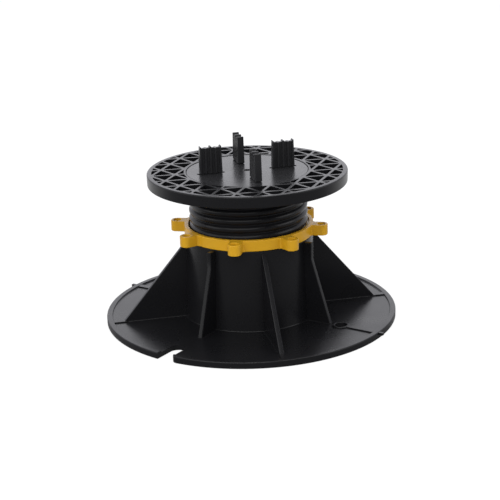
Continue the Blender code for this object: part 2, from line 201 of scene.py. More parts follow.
# Fineness
TURN = 180
THREAD_COLUMNS = 144
ROUND_STEPS = 4
EDGE_SEGMENTS = 3
CIRCLE_STEPS = 40
LUG_HOLE_STEPS = 32
POCKET_RAYS = 240
POCKET_SEARCH = 16
POCKET_TOLERANCE = 0.03
BISECTIONS = 26
SHARP_EDGE = 25.0
SMOOTH_ANGLE = 32.0

# Camera: a pinhole fitted to the photographed outlines
CAMERA_BACK = 912.6
CAMERA_HEIGHT = 346.9
CAMERA_TILT = 18.249
CAMERA_PAN = 0.022
CAMERA_ROLL = -1.7
CAMERA_LENS = 100.69
ROW_TURN = -57.2

# Plastics: the moulded grain and the slow change of tone and gloss
PLASTIC_IOR = 1.49
CLOUD_SCALE = 38.0
GRAIN_SCALE = 2100.0
GRAIN_DEPTH = 0.00003
GRAIN_STRENGTH = 0.12

# Studio, in metres and watts, seen from the camera: x right, y away from it, z up
WORLD_TINT = (0.92, 0.92, 1.0, 1.0)
WORLD_LIGHT = 0.55
WORLD_SEEN = 1.09
ROOM_FRONT = 0.1
ROOM_REACH = (-0.5, 0.4)
FLOOR_R = 9.0
FLOOR_DROP = 0.0002
FLOOR_ALBEDO = 0.16
FLOOR_GLOW = 0.86
FLOOR_SEEN_NEAR = 0.12
FLOOR_SEEN_FAR = 0.7
FLOOR_REACH = (-0.05, 0.2)
LIGHT_TARGET = (0.0, 0.0, 0.05)
LIGHTS = (
    ("key_light", (-0.45, -1.6, 1.3), (2.4, 1.8), 34.0),
    ("top_light", (0.1, 0.4, 1.7), (1.2, 0.9), 13.0),
    ("back_light", (0.0, 1.9, 0.72), (2.0, 0.8), 3.8),
    ("left_light", (-1.6, -0.55, 0.55), (1.1, 1.3), 6.5),
    ("right_light", (1.6, -0.45, 0.55), (1.1, 1.3), 8.0),
)


def view_turn():
    """Rotation from the camera's frame to the part's."""
    return Matrix.Rotation(math.radians(ROW_TURN), 3, "Z")


def make_camera():
    tilt, pan, roll = (math.radians(v) for v in (CAMERA_TILT, CAMERA_PAN, CAMERA_ROLL))
    ahead = Vector((math.sin(pan) * math.cos(tilt), math.cos(pan) * math.cos(tilt), -math.sin(tilt)))
    right = Vector((math.cos(pan), -math.sin(pan), 0.0))
    up = right.cross(ahead)
    level = right * math.cos(roll) + up * math.sin(roll)
    upright = up * math.cos(roll) - right * math.sin(roll)
    turn = view_turn()
    axes = turn @ Matrix((level, upright, -ahead)).transposed()
    place = turn @ Vector((0.0, -CAMERA_BACK, CAMERA_HEIGHT)) * MM
    data = bpy.data.cameras.new("camera")
    data.lens = CAMERA_LENS
    data.sensor_width = 36.0
    data.clip_start = 0.05
    data.clip_end = 50.0
    camera = bpy.data.objects.new("camera", data)
    bpy.context.scene.collection.objects.link(camera)
    camera.matrix_world = Matrix.Translation(place) @ axes.to_4x4()
    bpy.context.scene.camera = camera


# Outlines


def rounded(corners, closed=False):
    """2D outline of corners (x, y, radius), each replaced by an arc of its radius."""
    out = []
    count = len(corners)
    for i, (x, y, radius) in enumerate(corners):
        if radius <= 0 or (not closed and i in (0, count - 1)):
            out.append((x, y))
            continue
        here = Vector((x, y))
        before = (Vector(corners[i - 1][:2]) - here).normalized()
        after = (Vector(corners[(i + 1) % count][:2]) - here).normalized()
        half = before.angle(after) / 2
        reach = radius / math.tan(half)
        centre = here + (before + after).normalized() * (radius / math.sin(half))
        start = here + before * reach - centre
        sweep = math.pi - 2 * half
        side = 1.0 if before.x * after.y - before.y * after.x < 0 else -1.0
        for k in range(ROUND_STEPS + 1):
            a = side * sweep * k / ROUND_STEPS
            across = start.x * math.cos(a) - start.y * math.sin(a)
            along = start.x * math.sin(a) + start.y * math.cos(a)
            out.append((centre.x + across, centre.y + along))
    return out


def box_outline(x_low, x_high, width):
    half = width / 2
    return [(x_low, -half), (x_high, -half), (x_high, half), (x_low, half)]


def circle_outline(x, radius, count=CIRCLE_STEPS):
    angles = [TAU * k / count for k in range(count)]
    return [(x + radius * math.cos(a), radius * math.sin(a)) for a in angles]


def quarter_round(steps):
    """Shares of a rounded edge's radius, (along the wall, in from it), from its end to the wall."""
    angles = [math.pi / 2 * k / steps for k in range(steps + 1)]
    return [(1 - math.cos(a), 1 - math.sin(a)) for a in angles]


def edge_levels(low, high, radius, steps):
    """Heights and insets of a wall whose lower and upper edges are rounded."""
    rise = [(low + radius * along, radius * inset) for along, inset in quarter_round(steps)]
    return rise + [(high - (z - low), inset) for z, inset in reversed(rise)]


def ease(t):
    """Smooth step from 0 to 1 of a value that is first held between them."""
    t = min(max(t, 0.0), 1.0)
    return t * t * (3 - 2 * t)


# Meshes


def mesh_object(name, verts, faces, merge=0.0):
    """Object from points in millimetres, merged, with its faces turned outwards."""
    mesh = bpy.data.meshes.new(name)
    mesh.from_pydata([(x * MM, y * MM, z * MM) for x, y, z in verts], [], faces)
    bm = bmesh.new()
    bm.from_mesh(mesh)
    if merge:
        bmesh.ops.remove_doubles(bm, verts=bm.verts[:], dist=merge * MM)
        bmesh.ops.dissolve_degenerate(bm, edges=bm.edges[:], dist=merge * MM * 0.5)
    bmesh.ops.recalc_face_normals(bm, faces=bm.faces[:])
    bm.to_mesh(mesh)
    bm.free()
    item = bpy.data.objects.new(name, mesh)
    bpy.context.scene.collection.objects.link(item)
    return item


def ring_faces(count, rings):
    """Side faces between rings of equally many points that are numbered ring by ring."""
    faces = []
    for j in range(rings - 1):
        for i in range(count):
            k = (i + 1) % count
            faces.append((j * count + i, j * count + k, (j + 1) * count + k, (j + 1) * count + i))
    return faces


def end_face(count, rings):
    """Face that closes the last of such rings."""
    return tuple((rings - 1) * count + i for i in range(count))


def loft(name, rings):
    """Closed solid through rings of equally many points, capped at both ends."""
    count = len(rings[0])
    verts = [p for ring in rings for p in ring]
    faces = ring_faces(count, len(rings))
    faces.append(tuple(range(count)))
    faces.append(end_face(count, len(rings)))
    return mesh_object(name, verts, faces)


def prism(name, outline, low, high, edge, plane="XY"):
    """Closed prism of an outline, with all of its edges rounded."""
    bm = bmesh.new()
    if plane == "XY":
        face = bm.faces.new([bm.verts.new((x, y, low)) for x, y in outline])
        along = (0.0, 0.0, high - low)
    else:
        face = bm.faces.new([bm.verts.new((x, low, y)) for x, y in outline])
        along = (0.0, high - low, 0.0)
    top = bmesh.ops.extrude_face_region(bm, geom=[face])
    moved = [v for v in top["geom"] if isinstance(v, bmesh.types.BMVert)]
    bmesh.ops.translate(bm, verts=moved, vec=along)
    bmesh.ops.recalc_face_normals(bm, faces=bm.faces[:])
    bmesh.ops.bevel(
        bm,
        geom=[e for e in bm.edges if e.calc_face_angle(0.0) > math.radians(SHARP_EDGE)],
        offset=edge,
        segments=EDGE_SEGMENTS,
        profile=0.5,
        affect="EDGES",
        clamp_overlap=True,
    )
    bm.verts.index_update()
    verts = [v.co.copy() for v in bm.verts]
    faces = [[v.index for v in f.verts] for f in bm.faces]
    bm.free()
    return mesh_object(name, verts, faces)


def flared(name, outline_at, low, high, flare):
    """Cutter whose ends widen, so that it leaves rounded edges."""
    levels = [(low - CUT_OVER, flare)]
    levels += edge_levels(low, high, flare, 4)
    levels += [(high + CUT_OVER, flare)]
    return loft(name, [[(x, y, z) for x, y in outline_at(extra)] for z, extra in levels])


def copies(item, angles):
    """The same object, now holding turned copies of its closed shape."""
    bm = bmesh.new()
    for angle in angles:
        start = len(bm.verts)
        bm.from_mesh(item.data)
        bm.verts.ensure_lookup_table()
        turn = Matrix.Rotation(math.radians(angle), 3, "Z")
        bmesh.ops.rotate(bm, verts=bm.verts[start:], cent=(0, 0, 0), matrix=turn)
    bm.to_mesh(item.data)
    bm.free()
    return item


def combine(item, other, operation):
    """Exact Boolean of two closed shapes; the second is used up."""
    step = item.modifiers.new("combine", "BOOLEAN")
    step.operation = operation
    step.solver = "EXACT"
    step.object = other
    graph = bpy.context.evaluated_depsgraph_get()
    mesh = bpy.data.meshes.new_from_object(item.evaluated_get(graph))
    item.modifiers.clear()
    old = item.data
    item.data = mesh
    mesh.name = item.name
    bpy.data.meshes.remove(old)
    bpy.data.objects.remove(other)


def smooth(item):
    """Smooth shading with flat faces kept flat and hard corners kept sharp."""
    bm = bmesh.new()
    bm.from_mesh(item.data)
    bmesh.ops.remove_doubles(bm, verts=bm.verts[:], dist=0.000002)
    bmesh.ops.dissolve_degenerate(bm, edges=bm.edges[:], dist=0.000001)
    bm.to_mesh(item.data)
    bm.free()
    item.data.shade_smooth()
    item.data.set_sharp_from_angle(angle=math.radians(SMOOTH_ANGLE))
    weigh = item.modifiers.new("weighted_normals", "WEIGHTED_NORMAL")
    weigh.keep_sharp = True
    weigh.weight = 90
    weigh.mode = "FACE_AREA_WITH_ANGLE"
    return item


# Thread


def thread_shape(distance):
    """Height of the ridge, 0 to 1, at an axial distance from its crest line."""
    valley = PITCH / 2 - abs(distance)
    t = min(max((valley - ROOT_FLAT / 2) / (PITCH / 2 - ROOT_FLAT / 2), 0.0), 1.0)
    return 1 - (1 - t) ** CREST_POWER


def thread_radius(angle, z, slack=0.0):
    turns = (z - STEM_LOW) / PITCH - (angle - math.radians(THREAD_START)) / TAU
    distance = (turns - round(turns)) * PITCH
    return ROOT_R + slack + (CREST_R - ROOT_R) * thread_shape(distance)


def thread_rows():
    """Places along one pitch, from crest to crest, denser towards the root."""
    reach = (PITCH - ROOT_FLAT) / 2
    side = [reach * share for share in THREAD_ROW_SHARES]
    rows = [0.0] + side + [PITCH - s for s in reversed(side)]
    return [r / PITCH for r in rows]


class Shell:
    """Points and faces gathered from several strips before they are merged into one mesh."""

    def __init__(self):
        self.verts = []
        self.faces = []

    def add(self, verts, faces):
        start = len(self.verts)
        self.verts += [tuple(float(c) for c in v) for v in verts]
        self.faces += [tuple(start + i for i in f) for f in faces]

    def lathe(self, profile, columns):
        """Strip turned about Z. A radius may be a function of the angle and height."""
        verts = []
        for i in range(columns):
            angle = TAU * i / columns
            for radius, z in profile:
                r = radius(angle, z) if callable(radius) else radius
                verts.append((r * math.cos(angle), r * math.sin(angle), z))
        count = len(profile)
        faces = []
        for i in range(columns):
            for j in range(count - 1):
                a = i * count + j
                b = ((i + 1) % columns) * count + j
                faces.append((a, b, b + 1, a + 1))
        self.add(verts, faces)

    def thread(self, low, high, slack):
        """Threaded wall between two heights. Its rows run along the helix, held at both ends."""
        offsets = thread_rows()
        per_turn = len(offsets)
        first = math.floor((low - STEM_LOW) / PITCH) - 3
        last = math.ceil((high - STEM_LOW) / PITCH) + 2
        rows = [STEM_LOW + (k + u) * PITCH for k in range(first, last + 1) for u in offsets]
        verts = []
        for i in range(THREAD_COLUMNS):
            angle = TAU * i / THREAD_COLUMNS
            rise = PITCH * (angle - math.radians(THREAD_START)) / TAU
            for row in rows:
                z = min(max(row + rise, low), high)
                r = thread_radius(angle, z, slack)
                verts.append((r * math.cos(angle), r * math.sin(angle), z))
        count = len(rows)
        faces = []
        for i in range(THREAD_COLUMNS):
            shift = per_turn if i == THREAD_COLUMNS - 1 else 0
            following = (i + 1) % THREAD_COLUMNS
            for j in range(count - 1 - shift):
                a = i * count + j
                b = following * count + j + shift
                faces.append((a, b, b + 1, a + 1))
        self.add(verts, faces)

    def build(self, name, merge=0.0005):
        return mesh_object(name, self.verts, self.faces, merge)


# Base


def base_body():
    rim_in = BASE_R - RIM_WIDTH
    profile = rounded([
        (SOCKET_TOP_R - 1.2, SOCKET_Z, 0),
        (SOCKET_TOP_R, SOCKET_Z, SOCKET_TOP_ROUND),
        (SOCKET_FOOT_R, PANEL_Z, SOCKET_FOOT_ROUND),
        (rim_in - RIM_WALL_FOOT, PANEL_Z, RIM_IN_ROUND),
        (rim_in + RIM_WALL_TOP, RIM_Z, RIM_IN_ROUND),
        (BASE_R, RIM_Z, RIM_OUT_ROUND),
        (BASE_R, 0.0, BASE_EDGE),
        (SOCKET_BORE_R, 0.0, BASE_EDGE),
        (SOCKET_BORE_R, SOCKET_THREAD_LOW, 0),
    ])
    wall = partial(thread_radius, slack=SOCKET_SLACK)
    shell = Shell()
    shell.lathe([(wall, SOCKET_Z)] + profile + [(wall, SOCKET_THREAD_LOW)], THREAD_COLUMNS)
    shell.thread(SOCKET_THREAD_LOW, SOCKET_Z, SOCKET_SLACK)
    return shell.build("base_moulding")


def long_fin():
    inner = (SOCKET_BORE_R + SOCKET_TOP_R) / 2
    outline = [
        (inner, PANEL_Z - SINK),
        (LONG_TIP_R, PANEL_Z - SINK),
        (LONG_TIP_R, PANEL_Z),
        (SOCKET_TOP_R, LONG_TOP_Z),
        (inner, LONG_TOP_Z),
    ]
    return prism("long_fins", outline, -FIN / 2, FIN / 2, FIN_EDGE, plane="XZ")


def short_fin():
    inner = (SOCKET_BORE_R + SOCKET_TOP_R) / 2
    outline = [
        (inner, PANEL_Z - SINK),
        (SHORT_TIP_R, PANEL_Z - SINK),
        (SHORT_TIP_R, PANEL_Z + SHORT_TIP_STEP),
        (SHORT_SHOULDER_R, SHORT_SHOULDER_Z),
        (SHORT_SHOULDER_R, SHORT_TOP_Z),
        (inner, SHORT_TOP_Z),
    ]
    return prism("short_fins", outline, -FIN / 2, FIN / 2, FIN_EDGE, plane="XZ")


def fin_foot(tip):
    """Small concave fillets on both sides of a fin's foot, out to the fin's tip."""
    half = FIN / 2
    side = []
    for k in range(5):
        a = math.pi / 2 * k / 4
        y = half + FIN_FILLET - FIN_FILLET * math.sin(a)
        side.append((y, PANEL_Z + FIN_FILLET - FIN_FILLET * math.cos(a)))
    section = [(-y, z) for y, z in side] + [(y, z) for y, z in reversed(side)]
    lip = half + FIN_FILLET + 0.02
    section = [(-lip, PANEL_Z - 0.6)] + section + [(lip, PANEL_Z - 0.6)]
    section = [(y, z - 0.015) for y, z in section]
    rings = [[(x, y, z) for y, z in section] for x in (SOCKET_FOOT_R - 2.4, tip)]
    return loft("fin_feet", rings)


def hole_outline(extra):
    return circle_outline(HOLE_CIRCLE, HOLE_R + extra)


def notch_outline(extra):
    """Notch in the rim: a round end, a straight wall, and one that rounds off at the mouth."""
    half = NOTCH_WIDTH / 2 + extra
    near = NOTCH_NEAR + extra
    curve = MOUTH_ROUND - extra
    end_x = BASE_R - NOTCH_DEPTH + NOTCH_WIDTH / 2
    far = BASE_R + CUT_PAST
    arc = []
    for k in range(17):
        a = math.pi / 2 + math.pi * k / 16
        arc.append((end_x + half * math.cos(a), math.sin(a) * (near if k < 8 else half)))
    mouth = []
    for k in range(7):
        a = math.pi / 2 * k / 6
        mouth.append((MOUTH_START + curve * math.sin(a), near + curve * (1 - math.cos(a))))
    return arc + [(far, -half), (far, near + curve)] + mouth[::-1]


def build_base():
    base = base_body()
    low = PANEL_Z - SINK
    strip_end = BASE_R - RIM_WIDTH + SINK
    long_strip = box_outline(LONG_TIP_R - STRIP_START, strip_end, STRIP_WIDTH)
    hole_strip = box_outline(HOLE_CIRCLE + COLLAR_R - SINK, strip_end, STRIP_WIDTH)
    collar = circle_outline(HOLE_CIRCLE, COLLAR_R)
    tongue = box_outline(BASE_R - RIM_TONGUE_ROOT, BASE_R + RIM_TONGUE_REACH, RIM_TONGUE_WIDTH)
    added = [
        (long_fin(), LONG_FIN_ANGLES),
        (short_fin(), SHORT_FIN_ANGLES),
        (prism("long_strips", long_strip, low, STRIP_Z, STRIP_EDGE), LONG_FIN_ANGLES),
        (prism("hole_strips", hole_strip, low, STRIP_Z, STRIP_EDGE), HOLE_ANGLES),
        (prism("collars", collar, low, STRIP_Z + FINE_FACE_STEP, BASE_EDGE), HOLE_ANGLES),
        (prism("tongues", tongue, RIM_TONGUE_LOW, STRIP_Z - FACE_STEP, BASE_EDGE), HOLE_ANGLES),
        (fin_foot(LONG_TIP_R - LONG_FILLET_END), LONG_FIN_ANGLES),
        (fin_foot(SHORT_TIP_R - SHORT_FILLET_END), SHORT_FIN_ANGLES),
    ]
    for shape, angles in added:
        combine(base, copies(shape, angles), "UNION")
    holes = flared("holes", hole_outline, 0.0, STRIP_Z, BASE_EDGE)
    combine(base, copies(holes, HOLE_ANGLES), "DIFFERENCE")
    notches = flared("notches", notch_outline, 0.0, RIM_Z, BASE_EDGE)
    combine(base, copies(notches, (NOTCH_TURN, 180 + NOTCH_TURN)), "DIFFERENCE")
    return smooth(base)


# Lock ring


def lug_outline(inset):
    """Outline of a lug, inset by a distance: a round nose and a root that flares into the ring."""
    fillet = LUG_FILLET + inset
    half = LUG_WIDTH / 2 - inset
    far = RING_R + LUG_REACH - inset
    corner = LUG_CORNER - inset
    side = []
    for i in range(13):
        a = math.radians(90 * i / 12)
        side.append((far - corner + corner * math.cos(a), half - corner + corner * math.sin(a)))
    wall = math.sqrt(RING_R**2 - (half + fillet) ** 2) - 0.05
    for i in range(9):
        a = math.radians(270 - 90 * i / 8)
        side.append((wall + fillet + fillet * math.cos(a), half + fillet + fillet * math.sin(a)))
    side.append((RING_R - LUG_ROOT + inset * 0.75, half + fillet))
    return [(x, -y) for x, y in reversed(side)] + side


def lug_hole_outline(extra):
    return circle_outline(RING_R + LUG_REACH - LUG_WIDTH / 2, LUG_HOLE_R + extra, LUG_HOLE_STEPS)


def build_lock_ring():
    bore = CREST_R + RING_SLACK + GAP
    step_z = RING_TOP - COUNTERBORE
    profile = rounded([
        (bore, step_z, 0),
        (bore, RING_TOP, RING_BORE_ROUND),
        (RING_R, RING_TOP, RING_TOP_ROUND),
        (RING_R, RING_LOW, RING_FOOT_ROUND),
        (bore - 0.4, RING_LOW, 0),
    ])
    wall = partial(thread_radius, slack=RING_SLACK)
    shell = Shell()
    shell.lathe([(wall, step_z)] + profile + [(wall, RING_LOW)], THREAD_COLUMNS)
    shell.thread(RING_LOW, step_z, RING_SLACK)
    ring = shell.build("lock_ring_moulding")
    low, high = RING_LOW, RING_TOP - LUG_DROP
    levels = edge_levels(low, high, LUG_EDGE, 3)
    lugs = loft("lugs", [[(x, y, z) for x, y in lug_outline(inset)] for z, inset in levels])
    holes = flared("lug_holes", lug_hole_outline, low, high, LUG_EDGE)
    angles = [LUG_FIRST + 360 / LUG_COUNT * i for i in range(LUG_COUNT)]
    combine(ring, copies(lugs, angles), "UNION")
    combine(ring, copies(holes, angles), "DIFFERENCE")
    return smooth(ring)


# Screw head


def line_distances(walls):
    """Signed distance functions, positive inside, of the walls round one triangular pocket."""
    tests = []
    for normal, offset, side in walls:
        tests.append(lambda p, n=normal, o=offset, s=side: s * (p @ n - o) - GRID_RIB / 2)
    tests.append(lambda p: np.hypot(p[..., 0], p[..., 1]) - POCKET_IN_R)
    tests.append(lambda p: POCKET_OUT_R - np.hypot(p[..., 0], p[..., 1]))
    return tests


def pocket_depth(tests, points, radius):
    """Distance inside a pocket with its corners rounded."""
    total = 0.0
    for test in tests:
        total = total + np.maximum(radius - test(points), 0.0) ** 2
    return radius - np.sqrt(total)


def triangular_cells():
    """Corners of each grid cell and its three walls: (normal, offset of the rib's line, inner side)."""
    spacing = GRID_SIDE * math.sqrt(3) / 2
    normals = []
    for i in range(3):
        a = math.radians(GRID_FIRST + 60 * i + 90)
        normals.append(np.array([math.cos(a), math.sin(a)]))
    lines = np.array([normals[0], normals[2]])

    def crossing(i, j):
        return np.linalg.solve(lines, np.array([i, j]) * spacing)

    reach = int(HEAD_R / spacing) + 2
    cells = []
    for i in range(-reach, reach):
        for j in range(-reach, reach):
            corner, far = crossing(i, j), crossing(i + 1, j + 1)
            one, two = crossing(i + 1, j), crossing(i, j + 1)
            if np.linalg.norm(one - two) < np.linalg.norm(corner - far):
                middle, ends = (one, two), (corner, far)
            else:
                middle, ends = (corner, far), (one, two)
            for end in ends:
                corners = np.array([middle[0], middle[1], end])
                centre = corners.mean(0)
                if np.hypot(*centre) > HEAD_R + GRID_SIDE:
                    continue
                walls = []
                for normal in normals:
                    line = round(float(np.median(corners @ normal / spacing)))
                    side = 1.0 if centre @ normal > line * spacing else -1.0
                    walls.append((normal, line * spacing, side))
                cells.append((corners, walls))
    return cells


def pocket_rings(corners, walls):
    """Centre and rings of one pocket from the plate's top down to its floor, or None for a sliver."""
    tests = line_distances(walls)
    n = POCKET_SEARCH
    weights = [(a / n, b / n, (n - a - b) / n) for a in range(n + 1) for b in range(n + 1 - a)]
    points = np.array(weights) @ corners
    inside = np.min([test(points) for test in tests], axis=0)
    best = int(np.argmax(inside))
    if inside[best] < POCKET_SMALLEST:
        return None
    radius = min(POCKET_ROUND, inside[best] * 0.85)
    centre = points[best]
    dense = np.linspace(0.0, TAU, POCKET_RAYS, endpoint=False)
    keep = corner_angles(cast(tests, centre, dense, -POCKET_EDGE, radius), dense)
    rings = []
    for along, inset in quarter_round(3):
        ring = cast(tests, centre, keep, -POCKET_EDGE * inset, radius)
        rings.append((ring, PLATE_TOP - POCKET_EDGE * along))
    for along, rest in quarter_round(3):
        inset = min(POCKET_DRAFT + POCKET_FOOT * along * 0.9, radius * 0.8)
        ring = cast(tests, centre, keep, inset, radius)
        rings.append((ring, PLATE_FLOOR_Z + POCKET_FOOT * rest))
    return centre, rings


def cast(tests, centre, angles, level, radius):
    """Points where rays from a pocket's centre meet the wall that lies at a level."""
    heading = np.stack([np.cos(angles), np.sin(angles)], axis=-1)
    low = np.zeros(len(angles))
    high = np.full(len(angles), GRID_SIDE)
    for _ in range(BISECTIONS):
        middle = (low + high) / 2
        inside = pocket_depth(tests, centre + heading * middle[:, None], radius) > level
        low = np.where(inside, middle, low)
        high = np.where(inside, high, middle)
    return centre + heading * low[:, None]


def corner_angles(ring, angles):
    """Ray angles that keep a ring's shape to within a small distance."""
    count = len(ring)
    start = int(np.argmax(np.hypot(*(ring - ring.mean(0)).T)))
    order = [(start + i) % count for i in range(count)] + [start]
    keep = {0, count // 2, count}

    def split(a, b):
        if b - a < 2:
            return
        p, q = ring[order[a]], ring[order[b]]
        chord = q - p
        length = max(np.hypot(*chord), 1e-9)
        middle = ring[order[a + 1 : b]] - p
        away = np.abs(middle[:, 0] * chord[1] - middle[:, 1] * chord[0]) / length
        worst = int(np.argmax(away))
        if away[worst] > POCKET_TOLERANCE:
            keep.add(a + 1 + worst)
            split(a, a + 1 + worst)
            split(a + 1 + worst, b)

    split(0, count // 2)
    split(count // 2, count)
    chosen = sorted({order[i] for i in keep})
    return angles[chosen]


def plate_top(shell, outer_r, inner_r, pockets):
    """Flat top of the plate between two circles, with the pockets' mouths left open."""
    points, edges = [], []

    def loop(ring):
        start = len(points)
        points.extend(Vector((float(x), float(y))) for x, y in ring)
        edges.extend((start + i, start + (i + 1) % len(ring)) for i in range(len(ring)))

    for radius in (outer_r, inner_r):
        loop(circle_outline(0.0, radius, THREAD_COLUMNS))
    for centre, rings in pockets:
        loop(rings[0][0])
    verts, _, faces, _, _, _ = delaunay_2d_cdt(points, edges, [], 0, 1e-6)
    flat = np.array([(v.x, v.y) for v in verts])
    middle = np.array([flat[list(f)].mean(0) for f in faces])
    reach = np.hypot(middle[:, 0], middle[:, 1])
    chord = math.cos(math.pi / THREAD_COLUMNS)
    shown = (reach < outer_r) & (reach > inner_r * chord)
    for centre, rings in pockets:
        near = shown & (np.hypot(*(middle - centre).T) < GRID_SIDE)
        spots = np.nonzero(near)[0]
        if len(spots):
            hidden = inside_ring(rings[0][0], middle[spots])
            shown[spots[hidden]] = False
    kept = [tuple(f) for f, keep in zip(faces, shown) if keep]
    shell.add([(x, y, PLATE_TOP) for x, y in flat], kept)


def inside_ring(ring, points):
    """Whether each point lies inside a closed ring, by crossing count."""
    x, y = points[:, 0][:, None], points[:, 1][:, None]
    x1, y1 = ring[:, 0][None, :], ring[:, 1][None, :]
    x2, y2 = np.roll(ring[:, 0], -1)[None, :], np.roll(ring[:, 1], -1)[None, :]
    spans = (y1 > y) != (y2 > y)
    rise = np.where(np.abs(y2 - y1) < 1e-12, 1e-12, y2 - y1)
    crosses = x < (x2 - x1) * (y - y1) / rise + x1
    return (spans & crosses).sum(axis=1) % 2 == 1


def build_screw_head():
    # The first outer and the last inner corner only give the top's direction
    outer = rounded([
        (HEAD_R - 1.6, PLATE_TOP, 0),
        (HEAD_R, PLATE_TOP, PLATE_EDGE),
        (HEAD_R - PLATE_DRAFT, PLATE_LOW, PLATE_FOOT_EDGE),
        (CREST_R - 0.5, PLATE_LOW, 0),
    ])[1:]
    inner = rounded([
        (STEM_BORE_R, STEM_LOW + 3.0, 0),
        (STEM_BORE_R, LEDGE_Z, RECESS_EDGE),
        (RECESS_R, LEDGE_Z, RECESS_FILLET),
        (RECESS_R, PLATE_TOP, RECESS_EDGE),
        (RECESS_R + 2.0, PLATE_TOP, 0),
    ])[:-1]
    foot = [
        (thread_radius, STEM_LOW),
        (STEM_BORE_R + STEM_EDGE, STEM_LOW),
        (STEM_BORE_R, STEM_LOW + STEM_EDGE),
    ]
    shell = Shell()
    shell.lathe(outer + [(thread_radius, PLATE_LOW)], THREAD_COLUMNS)
    shell.thread(STEM_LOW, PLATE_LOW, 0.0)
    shell.lathe(foot + inner, THREAD_COLUMNS)
    made = [pocket_rings(corners, walls) for corners, walls in triangular_cells()]
    pockets = [pocket for pocket in made if pocket]
    for centre, rings in pockets:
        count = len(rings[0][0])
        verts = [(x, y, z) for ring, z in rings for x, y in ring]
        shell.add(verts, ring_faces(count, len(rings)) + [end_face(count, len(rings))])
    plate_top(shell, outer[0][0], inner[-1][0], pockets)
    return smooth(shell.build("screw_head_moulding", merge=0.0004))


# Spacer disc and tabs


def tab_angle(number):
    return TAB_FIRST + 90 * number


def slot_outline(extra):
    half = TONGUE_LENGTH / 2 + SLOT_SPACE + extra
    width = TONGUE_WIDTH / 2 + GAP + extra
    corner = SLOT_CORNER + extra
    points = []
    for sx, sy, first in ((1, -1, -90), (1, 1, 0), (-1, 1, 90), (-1, -1, 180)):
        for k in range(4):
            a = math.radians(first + 30 * k)
            x = sx * (half - corner) + corner * math.cos(a)
            y = sy * (width - corner) + corner * math.sin(a)
            points.append((TAB_CENTRE + x, y))
    return points


def build_disc():
    skirt_in = SKIRT_R - SKIRT_WALL
    corners = [
        (DISC_R, DISC_TOP, 0.35),
        (DISC_R, DISC_LOW, 0.2),
        (SKIRT_R, DISC_LOW, 0.15),
        (SKIRT_R, SKIRT_LOW, 0.3),
        (skirt_in, SKIRT_LOW, 0.3),
        (skirt_in, DISC_LOW, 0.5),
        (DISC_HOLE_R, DISC_LOW, 0.25),
        (DISC_HOLE_R, DISC_TOP, DISC_MOUTH_EDGE),
    ]
    profile = rounded(corners, closed=True)
    shell = Shell()
    shell.lathe(profile + profile[:1], TURN)
    disc = shell.build("spacer_disc_moulding")
    slots = flared("tab_slots", slot_outline, DISC_LOW, DISC_TOP, SLOT_EDGE)
    combine(disc, copies(slots, [tab_angle(i) for i in range(TAB_COUNT)]), "DIFFERENCE")
    return smooth(disc)


def rib_centres():
    pitch = (TAB_WIDTH - TAB_RIB) / (TAB_RIBS - 1)
    return [-TAB_WIDTH / 2 + TAB_RIB / 2 + i * pitch for i in range(TAB_RIBS)]


def tab_half_thickness(x):
    """Half of the blade's thickness: thick on its ribs and thin between them."""
    near = min(abs(x - centre) for centre in rib_centres())
    t = ease((near - TAB_RIB / 2 + TAB_RIB_BLEND) / (2 * TAB_RIB_BLEND))
    return (TAB_THICK + (TAB_WEB - TAB_THICK) * t) / 2


def tab_top(x):
    """Height of the blade's top edge: flat troughs between points at its middle and corners."""
    dip = 1.0
    for high, low in TAB_FLANKS:
        dip *= ease((abs(x) - high) / (low - high))
    return TAB_FOOT + TAB_HEIGHT - TAB_TROUGH * dip


def tab_stations():
    """Places across the blade, each with its inset: rounded ends, then the ribs' and points' flanks."""
    half = TAB_WIDTH / 2
    end = [(-half + TAB_EDGE * along, TAB_EDGE * inset) for along, inset in quarter_round(3)]
    inner = set()
    for centre in rib_centres():
        for side in (-1, 1):
            for t in (-TAB_RIB_BLEND, -0.12, 0.0, 0.12, TAB_RIB_BLEND):
                inner.add(round(centre + side * (TAB_RIB / 2 + t), 4))
    for high, low in TAB_FLANKS:
        for share in (0.0, 0.2, 0.4, 0.6, 0.8, 1.0):
            x = high + (low - high) * share
            inner.update((round(x, 4), round(-x, 4)))
    limit = half - TAB_EDGE - 0.05
    middle = [(x, 0.0) for x in sorted(inner) if -limit < x < limit]
    return end + middle + [(-x, inset) for x, inset in reversed(end)]


def tab_section(x, inset):
    """Closed section of the blade at one station, narrower towards its top."""
    thick = tab_half_thickness(x) - inset
    top = tab_top(x) - inset
    foot = TAB_FOOT + inset
    column = [(thick - TAB_FOOT_EDGE, foot), (thick, foot + TAB_FOOT_EDGE)]
    for share in (0.33, 0.66):
        column.append((thick - TAB_DRAFT / 2 * share, foot + (top - foot) * share))
    for along, rest in quarter_round(3):
        column.append((thick - TAB_DRAFT / 2 - TAB_EDGE * along, top - TAB_EDGE * rest))
    section = column + [(-y, z) for y, z in reversed(column)]
    points = []
    for y, z in section:
        shrink = 1 - TAB_DRAFT / (TAB_WIDTH / 2) * (z - TAB_FOOT) / TAB_HEIGHT
        points.append((x * shrink, y, z))
    return points


def barbed_tongue():
    """Tongue under a blade that reaches through the disc and catches under it."""
    under = DISC_LOW - GAP
    half = TONGUE_WIDTH / 2
    side = [
        (half, under - BARB_HEIGHT),
        (half + BARB_REACH, under),
        (half, under),
        (half, TAB_FOOT + SINK),
    ]
    section = [(-y, z) for y, z in reversed(side)] + side
    long = TONGUE_LENGTH / 2
    return loft("tongue", [[(x, y, z) for y, z in section] for x in (-long, long)])


